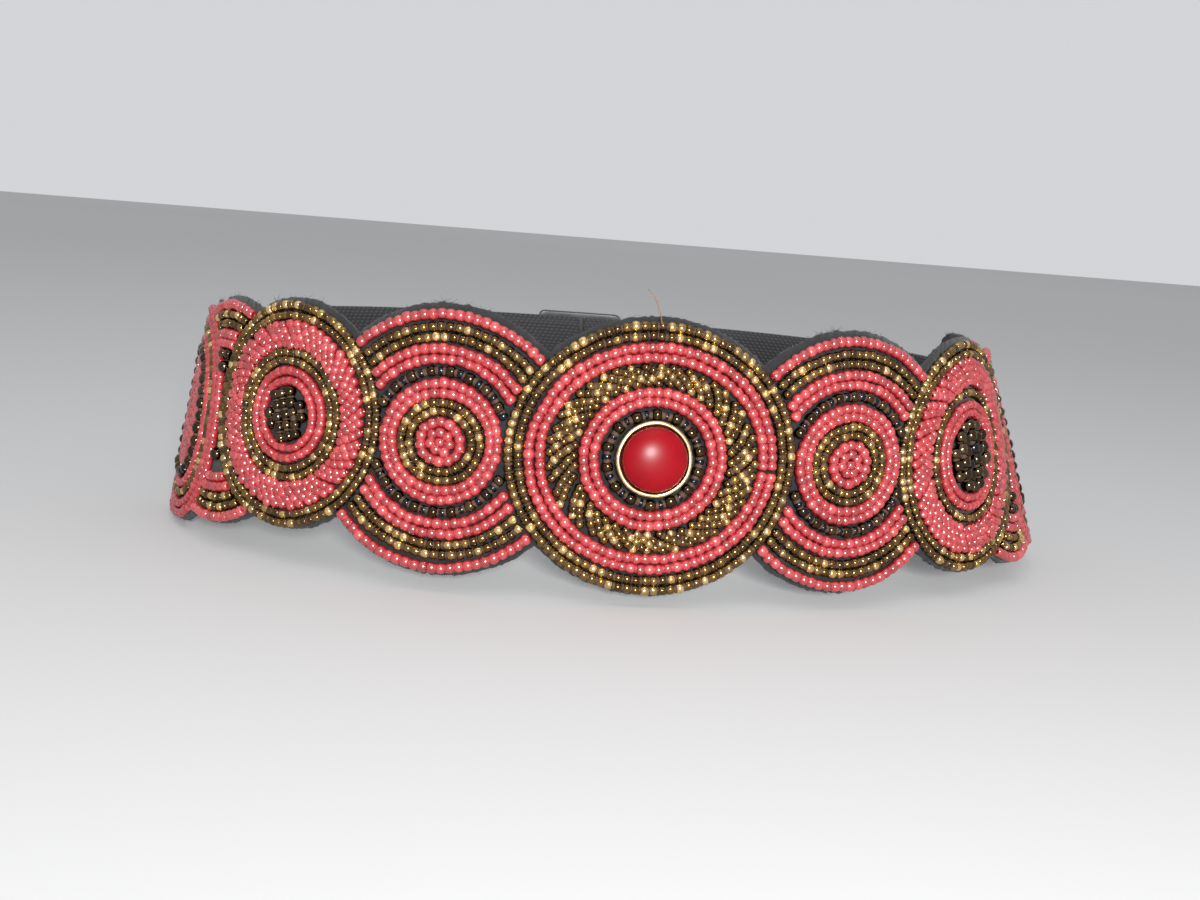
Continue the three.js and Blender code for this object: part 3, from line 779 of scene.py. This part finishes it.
def arc_row(medallion, wide, tall, up, covers, middle):
    angle = np.linspace(-ARC_LIMIT, ARC_LIMIT, 2 * ARC_STEPS + 1)
    s = medallion.s + wide * np.sin(angle)
    t = medallion.t + up * tall * np.cos(angle)
    hidden = np.any([cover.covers(s, t, COVER_MARGIN) for cover in covers], axis=0)
    if hidden[ARC_STEPS]:
        return None
    low = ARC_STEPS - np.argmax(np.append(hidden[ARC_STEPS::-1], True)) + 1
    high = ARC_STEPS + np.argmax(np.append(hidden[ARC_STEPS:], True))
    if high - low < SHORTEST_ARC:
        return None
    sway = waves(angle[low:high], ARC_WAVE)
    return on_belt(s[low:high] + sway * np.sin(angle[low:high]),
                   t[low:high] + sway * up * np.cos(angle[low:high]), middle)


def bead_arcs(name, medallion, sizes, kind, up, covers, nodes, **changes):
    rows = [arc_row(medallion, wide, tall, up, covers, BEAD_MIDDLE[kind]) for wide, tall in sizes]
    rows = [row for row in rows if row is not None]
    if rows:
        string_beads(name, kind, rows, False, nodes, **changes)


def edge_at(medallion, t, way):
    up = abs(t - medallion.t) / medallion.tall
    share = (1 - up**medallion.squareness) ** (1 / medallion.squareness)
    return medallion.s + way * medallion.wide * share


def point_bead(side, node, up):
    t = side["notch"].t + up * POINT_AT
    s = (edge_at(side["middle"], t, side["way"]) + edge_at(side["outer"], t, -side["way"])) / 2
    line = on_belt(s, np.array([t, t + up * POINT_LINE]), BEAD_MIDDLE["gunmetal"])
    string_beads(node + "_point", "gunmetal", [line], False, [node], Size=POINT_SIZE)


INNER_ARCS = [("gunmetal", "gunmetal"), ("coral", "coral"), ("bronze", "bronze"), ("edge", "coral")]
NOTCH_PLAN = [("coral", (0,)), ("bronze", (1, 2)), ("coral_inside", (3, 4)), ("gunmetal", (5,))]
NOTCH_ROWS, NOTCH_DEPTH = 6, 17
for side in SIDES.values():
    inner, middle, outer, notch = (side[k] for k in ("inner", "middle", "outer", "notch"))
    for end, up in (("top", 1), ("bottom", -1)):
        for field, kind in INNER_ARCS:
            node = f"{inner.name}_{field}_{end}"
            changes = {"Spacer": 0.75, "Pitch": 2.6} if kind == "gunmetal" else {}
            bead_arcs(node, inner, row_sizes(inner.fields[field]), kind, up,
                      (centre, middle), [node], **changes)
        node = f"{notch.name}_{end}"
        for field, places in NOTCH_PLAN:
            sizes = [(NOTCH_RADIUS - (place + 0.5) * NOTCH_DEPTH / NOTCH_ROWS,) * 2 for place in places]
            bead_arcs(f"{node}_{field}", notch, sizes, field.split("_")[0], up, (middle, outer), [node])
        point_bead(side, node, up)

# %% [markdown]
# ## Felt
# The cloth under the beads is stiff dark felt, cut with scissors a little outside the outermost beads. It
# is a sheet, so it is made as one: a grid over the belt's plan, with a slightly ragged edge, thickened by
# a Solidify modifier to its millimetre and a half. Cloth simulation would add nothing, because the beads
# hold the felt stiff. Its colour and its nap are noise at two scales.

# %% Felt finish
felt_finish, tree, inputs = new_finish("black_felt", Roughness=0.95, Sheen_Weight=0.12, Sheen_Roughness=0.5)
colour(tree, inputs, noise(tree, 160.0, Detail=6.0, Roughness=0.7),
       [(0.3, (0.004, 0.004, 0.005)), (0.55, (0.01, 0.0105, 0.0115)), (0.8, (0.024, 0.025, 0.027))])
emboss(tree, inputs, noise(tree, 1400.0, Detail=4.0, Roughness=0.8), 0.8, 0.0004)
print("felt finish ready")

# %% Felt cloth
CLOTH_THICKNESS = 1.5
CLOTH_COLUMNS, CLOTH_LINES = 460, 30
SNIP, PUCKER = 0.16, 0.05
FELT_MARGINS = {1: 1.0, -1: 0.5}


def cloth_edge(s, up):
    highest = np.full(s.shape, BAND_HEIGHT / 2)
    for medallion in everything:
        across = np.clip(np.abs(s - medallion.s) / (medallion.wide + CLOTH_MARGIN), 0, 1)
        share = (1 - across**medallion.squareness) ** (1 / medallion.squareness)
        reach = up * medallion.t + (medallion.tall + FELT_MARGINS[up]) * share
        highest = np.maximum(highest, np.where(across < 1, reach, 0))
    return up * highest


def grid_mesh(name, points):
    return make_mesh(name, points.reshape(-1, 3), quads(*points.shape[:2]))


def thicken(piece, thickness):
    sheet = piece.modifiers.new("thickness", "SOLIDIFY")
    sheet.thickness = thickness * MM
    sheet.offset = -1


cloth_s = np.linspace(-SIDES["left"]["end"], SIDES["right"]["end"], CLOTH_COLUMNS)
snips = hand.normal(0, SNIP, (2, CLOTH_COLUMNS))
low_edge = cloth_edge(cloth_s, -1) + snips[0]
high_edge = cloth_edge(cloth_s, 1) + snips[1]
share = np.linspace(0, 1, CLOTH_LINES)[:, None]
felt_t = low_edge + (high_edge - low_edge) * share
felt_s = np.broadcast_to(cloth_s, felt_t.shape)
puckers = hand.normal(0, PUCKER, felt_t.shape) - PUCKER
felt_mesh = grid_mesh("felt_cloth", on_belt(felt_s, felt_t, puckers))
felt = settle("felt_cloth", felt_mesh, ["cloth_backing"], felt_finish)
thicken(felt, CLOTH_THICKNESS)

# %% [markdown]
# ## Bands and clasp
# Round the back the belt is a plain black band on each side, closed by one plain plate. The photograph
# doesn't show the back, so these are finished simply. A woven band is a sheet too: its ribs are too fine
# to model, so they come from a wave texture that follows the band's own UV map, in metres along it.

# %% Band finish
band_finish, tree, inputs = new_finish("black_webbing", Roughness=0.75, Sheen_Weight=0.15)
woven = put(tree, "ShaderNodeUVMap", uv_map="along_band")
ribs = put(tree, "ShaderNodeTexWave", {"Vector": woven, "Scale": 160.0}, bands_direction="X")
picks = put(tree, "ShaderNodeTexWave", {"Vector": woven, "Scale": 240.0}, bands_direction="Y")
weave_and_painted_shade = math_node(tree, "MULTIPLY", ribs.outputs["Fac"], picks.outputs["Fac"])
# the colour follows the same weave as the relief: painted shade in the grooves and painted light on the rib
# crests of a plain black band
colour(tree, inputs, weave_and_painted_shade, [(0, (0.006, 0.006, 0.007)), (1, (0.035, 0.035, 0.038))])
emboss(tree, inputs, weave_and_painted_shade, 0.6, 0.0003)
print("band finish ready")

# %% Bands
BAND_THICKNESS = 1.2
BAND_COLUMNS, BAND_LINES = 120, 14
EDGE_CURL, CURL_POWER = 0.25, 8
band_face = -CLOTH_THICKNESS - GAP


def add_uv(mesh, s, t):
    layer = mesh.uv_layers.new(name="along_band")
    flat = np.stack([s.reshape(-1), t.reshape(-1)], axis=1) * MM
    corners = np.empty(len(mesh.loops), dtype=int)
    mesh.loops.foreach_get("vertex_index", corners)
    layer.data.foreach_set("uv", flat[corners].reshape(-1))


for name, side in SIDES.items():
    share = np.linspace(0, 1, BAND_LINES)[:, None]
    band_t = np.broadcast_to((share - 0.5) * BAND_HEIGHT, (BAND_LINES, BAND_COLUMNS))
    start, stop = side["end"] - BAND_TUCK, half_girth(band_t) - GAP
    band_s = start + (stop - start) * np.linspace(0, 1, BAND_COLUMNS)
    order = slice(None) if side["way"] > 0 else slice(None, None, -1)
    placed_s, placed_t = side["way"] * band_s[:, order], band_t[:, order]
    curl = EDGE_CURL * (2 * share - 1) ** CURL_POWER
    band_mesh = grid_mesh("webbing_" + name, on_belt(placed_s, placed_t, band_face - curl))
    add_uv(band_mesh, placed_s, placed_t)
    band = settle("webbing_" + name, band_mesh, ["band_" + name], band_finish)
    thicken(band, BAND_THICKNESS)

# %% [markdown]
# The clasp is a curved plate. Its outline has round corners, so it is drawn as a grid whose end columns
# draw in, and a Bevel after the Solidify takes the sharp edge off.

# %% Clasp
CLASP_WIDTH, CLASP_HEIGHT, CLASP_THICKNESS = 34, 48, 2.4
CORNER, CLASP_ROUND = 3, 0.5
clasp_finish, tree, inputs = new_finish("clasp_lacquer", Metallic=0.4, Coat_Weight=0.3, Coat_Roughness=0.2)
scuffs = noise(tree, 90.0, Detail=8.0, Roughness=0.75)
colour(tree, inputs, scuffs, [(0.35, (0.012, 0.012, 0.013)), (0.75, (0.05, 0.05, 0.052))])
roughen(tree, inputs, scuffs, 0.25, 0.6)

aside = np.linspace(-CLASP_WIDTH / 2, CLASP_WIDTH / 2, 35)
past_corner = np.clip(np.abs(aside) - (CLASP_WIDTH / 2 - CORNER), 0, CORNER)
half_tall = CLASP_HEIGHT / 2 - CORNER + np.sqrt(CORNER**2 - past_corner**2)
clasp_t = half_tall * np.linspace(-1, 1, 25)[:, None]
clasp_s = np.where(aside < 0, -1, 1) * (half_girth(clasp_t) - np.abs(aside))
clasp_mesh = grid_mesh("clasp_plate", on_belt(clasp_s, clasp_t, band_face + GAP + CLASP_THICKNESS)[:, ::-1])
clasp = settle("clasp_plate", clasp_mesh, ["clasp"], clasp_finish)
thicken(clasp, CLASP_THICKNESS)
rounding = clasp.modifiers.new("rounding", "BEVEL")
rounding.width = CLASP_ROUND * MM
rounding.segments = 3
print("clasp plate with", len(clasp_mesh.polygons), "faces before thickness")

# %% [markdown]
# ## Stone and cup
# The centre holds a domed red stone in a thin metal cup. Both are stiff, so they sit on the flat plane that
# touches the belt's front, not on its curve. Each is one profile turned about an axis, which a Screw
# modifier could also do. Turning it here in a few lines keeps the part on its tilted plane from the start.

# %% Stone and cup
BEZEL_WALL, BEZEL_HEIGHT, BEZEL_FLOOR = 1.3, 3.4, 0.9
CUP_ROUND, INSIDE_ROUND, STONE_ROUND = 0.3, 0.2, 0.4
CABOCHON_EDGE, CABOCHON_HEIGHT = 2.4, 6
TURN_STEPS = 96
plane_middle = Vector(on_belt(0, 0, 0))
plane_up = Vector((0, FRONT_FLARE * UPRIGHT, UPRIGHT)).normalized()
plane_across = Vector((1, 0, 0))
plane_out = plane_across.cross(plane_up)


def on_front_plane(across, up, out):
    return plane_middle + (plane_across * across + plane_up * up + plane_out * out) * MM


def turned(name, profile, wobble=0.0):
    points = []
    for step in range(TURN_STEPS):
        angle = FULL_TURN * step / TURN_STEPS
        ripple = wobble * (math.sin(3 * angle + 1) + 0.6 * math.sin(7 * angle))
        for radius, height in profile[1:-1]:
            around = radius + ripple
            points.append(on_front_plane(around * math.sin(angle), around * math.cos(angle), height))
    count = len(profile) - 2
    faces = quads(TURN_STEPS, count, closed_lines=True)
    low, high = len(points), len(points) + 1
    points += [on_front_plane(0, 0, profile[0][1]), on_front_plane(0, 0, profile[-1][1])]
    for step in range(TURN_STEPS):
        here, there = step * count, (step + 1) % TURN_STEPS * count
        faces += [(low, here, there), (high, there + count - 1, here + count - 1)]
    return make_mesh(name, points, faces)


def arc(middle_radius, middle_height, radius, start, stop, steps):
    angles = np.radians(np.linspace(start, stop, steps))
    return [(middle_radius + radius * math.cos(a), middle_height + radius * math.sin(a)) for a in angles]


cup_inside = BEZEL_RADIUS - BEZEL_WALL
cup_top, cup_floor = GAP + BEZEL_HEIGHT, GAP + BEZEL_FLOOR
lip_radius = BEZEL_WALL / 2
cup_profile = [(0, GAP), (BEZEL_RADIUS - CUP_ROUND, GAP), (BEZEL_RADIUS, GAP + CUP_ROUND)]
cup_profile += arc(BEZEL_RADIUS - lip_radius, cup_top - lip_radius, lip_radius, 0, 180, 9)
cup_profile += [(cup_inside, cup_floor + INSIDE_ROUND), (cup_inside - INSIDE_ROUND, cup_floor),
                (0, cup_floor)]
gold_finish, tree, inputs = new_finish("pale_gold", Metallic=1.0)
wear = noise(tree, 420.0, Detail=6.0, Roughness=0.7)
colour(tree, inputs, wear,
       [(0.3, (0.42, 0.3, 0.13)), (0.55, (0.72, 0.56, 0.3)), (0.75, (0.82, 0.7, 0.45))])
roughen(tree, inputs, wear, 0.15, 0.42)
settle("bezel_cup", turned("bezel_cup", cup_profile, wobble=0.05), ["centre_bezel"],
       gold_finish)

stone_radius, stone_foot = cup_inside - GAP, cup_floor + GAP
girdle, dome_rise = stone_foot + CABOCHON_EDGE, CABOCHON_HEIGHT - CABOCHON_EDGE
dome = [(stone_radius * math.cos(a), girdle + dome_rise * math.sin(a))
        for a in np.linspace(0, math.pi / 2, 15)[:-1]]
stone_profile = [(0, stone_foot), (stone_radius - STONE_ROUND, stone_foot),
                 (stone_radius, stone_foot + STONE_ROUND)]
stone_profile += dome + [(0, stone_foot + CABOCHON_HEIGHT)]
stone_finish, tree, inputs = new_finish(
    "red_resin", Roughness=0.33, Specular_IOR_Level=0.16, Coat_Weight=0.03, Coat_Roughness=0.2,
    Subsurface_Weight=0.1, Subsurface_Scale=0.002,
)
colour(tree, inputs, noise(tree, 140.0, Detail=3.0, Distortion=0.6),
       [(0.3, (0.165, 0.0008, 0.004)), (0.7, (0.205, 0.0013, 0.005))])
settle("red_stone", turned("red_stone", stone_profile), ["centre_cabochon"], stone_finish)
print("stone and cup turned in", TURN_STEPS, "steps")

# %% [markdown]
# ## Frayed edges
# Felt is pressed fibre, and where scissors cut it, short hairs stand out. They are too fine to shape one
# by one, but Geometry Nodes can plant them along the cut edge as it strung the beads: the edge is divided
# closely, and a bent hair is put at each point, turned and scaled at random. A few longer tufts and one
# loose brown thread at the top of the centre medallion are placed one by one.

# %% The fibre tree
HAIR_BEND, HAIR_THICKNESS, HAIR_TAPER = 0.35, 0.028, 0.75
HALF_ROUND = 3.1
hair_points = []
for share in np.linspace(0, 1, 4):
    width = HAIR_THICKNESS * (1 - HAIR_TAPER * share)
    hair_points += [(HAIR_BEND * share * share + width * math.cos(a), width * math.sin(a), share)
                    for a in (0, FULL_TURN / 3, 2 * FULL_TURN / 3)]
hair_faces = quads(4, 3, closed_columns=True) + [(2, 1, 0), (9, 10, 11)]
hair = bpy.data.objects.new("hair", make_mesh("hair", np.array(hair_points) * MM, hair_faces))
FIBRE_SOCKETS = {"Hair": "Object", "Spacing": "Float", "Length": "Float", "Scatter": "Float",
                 "Seed": "Int", "Finish": "Material"}
tree, given, result = new_tree("edge_fibres", FIBRE_SOCKETS)
line = put(tree, "GeometryNodeMeshToCurve", {"Mesh": given["Geometry"]})
divided = put(tree, "GeometryNodeResampleCurve", {"Curve": line, "Length": given["Spacing"]}, mode="LENGTH")
shift = scatter(tree, given["Scatter"], given["Seed"], 1)
moved = put(tree, "GeometryNodeSetPosition", {"Geometry": divided, "Offset": shift})
turn = scatter(tree, HALF_ROUND, given["Seed"], 2)
any_way = put(tree, "FunctionNodeEulerToRotation", {"Euler": turn})
shorter = random_value(tree, "FLOAT", 0.35, 1.0, given["Seed"], 3)
scale = math_node(tree, "MULTIPLY", given["Length"], shorter)
shape = put(tree, "GeometryNodeObjectInfo", {"Object": given["Hair"], "As Instance": True})
hairs = put(tree, "GeometryNodeInstanceOnPoints",
            {"Points": moved, "Instance": shape.outputs["Geometry"], "Rotation": any_way, "Scale": scale})
real = put(tree, "GeometryNodeRealizeInstances", {"Geometry": hairs})
finished = put(tree, "GeometryNodeSetMaterial", {"Geometry": real, "Material": given["Finish"]})
fill(tree, result["Geometry"], finished)
fibre_tree = tree
print("fibre tree has", len(fibre_tree.nodes), "nodes")

# %% Plant the fibres
EDGE_OUT, LAYER_STEP = -0.75, 0.4
edges = [on_belt(cloth_s, edge, EDGE_OUT + LAYER_STEP * layer)
         for edge in (low_edge, high_edge) for layer in (-1, 0, 1)]
fibre_mesh = run_tree("felt_fibres", fibre_tree, edges, False,
                      {"Hair": hair, "Spacing": 0.8 * MM, "Length": 1.5, "Scatter": 0.15 * MM,
                       "Seed": 5, "Finish": felt_finish})
settle("felt_fibres", fibre_mesh)
print("fibres:", len(fibre_mesh.polygons), "faces")

# %% Tufts and a loose thread
TUFT_PLACES = (-171, -112, -58, 46, 50)
TUFT_HALF = 0.7
tuft_lines = []
for place in TUFT_PLACES:
    spot = place + np.linspace(-TUFT_HALF, TUFT_HALF, 5)
    tuft_lines.append(on_belt(spot, np.interp(spot, cloth_s, high_edge), EDGE_OUT))
tuft_mesh = run_tree("felt_tufts", fibre_tree, tuft_lines, False,
                     {"Hair": hair, "Spacing": 0.06 * MM, "Length": 3.2, "Scatter": 0.2 * MM,
                      "Seed": 9, "Finish": felt_finish})
settle("felt_tufts", tuft_mesh)

THREAD_ROUTE = [(-0.5, 36, 2.6), (-1.2, 38.5, 3.2), (-2, 41, 3), (-3, 43.2, 2.4), (-4.6, 44.8, 2)]
THREAD_RADIUS, THREAD_SIDES = 0.16, 6
brown_finish = thread_like("brown_thread", 0.8, (0.12, 0.05, 0.03), (0.28, 0.13, 0.08), 2500.0)
knots = np.array(THREAD_ROUTE)
share = np.linspace(0, len(knots) - 1, 25)
route = on_belt(*(np.interp(share, range(len(knots)), column) for column in knots.T))
turn = np.linspace(0, FULL_TURN, THREAD_SIDES, endpoint=False)
ring = np.stack([np.cos(turn), np.sin(turn), 0 * turn], axis=-1) * THREAD_RADIUS * MM
loose_points = (route[:, None] + ring).reshape(-1, 3)
loose_faces = quads(len(route), THREAD_SIDES, closed_columns=True)
last_ring = (len(route) - 1) * THREAD_SIDES
loose_faces += [tuple(range(THREAD_SIDES))[::-1], tuple(last_ring + j for j in range(THREAD_SIDES))]
loose_mesh = make_mesh("loose_fibre", loose_points.tolist(), loose_faces)
settle("loose_fibre", loose_mesh, finish=brown_finish)
print("tufts:", len(tuft_mesh.polygons), "faces")

# %% Remove the helpers
for helper in (bead, hair):
    bpy.data.objects.remove(helper)
print("faces in all:", total_faces)
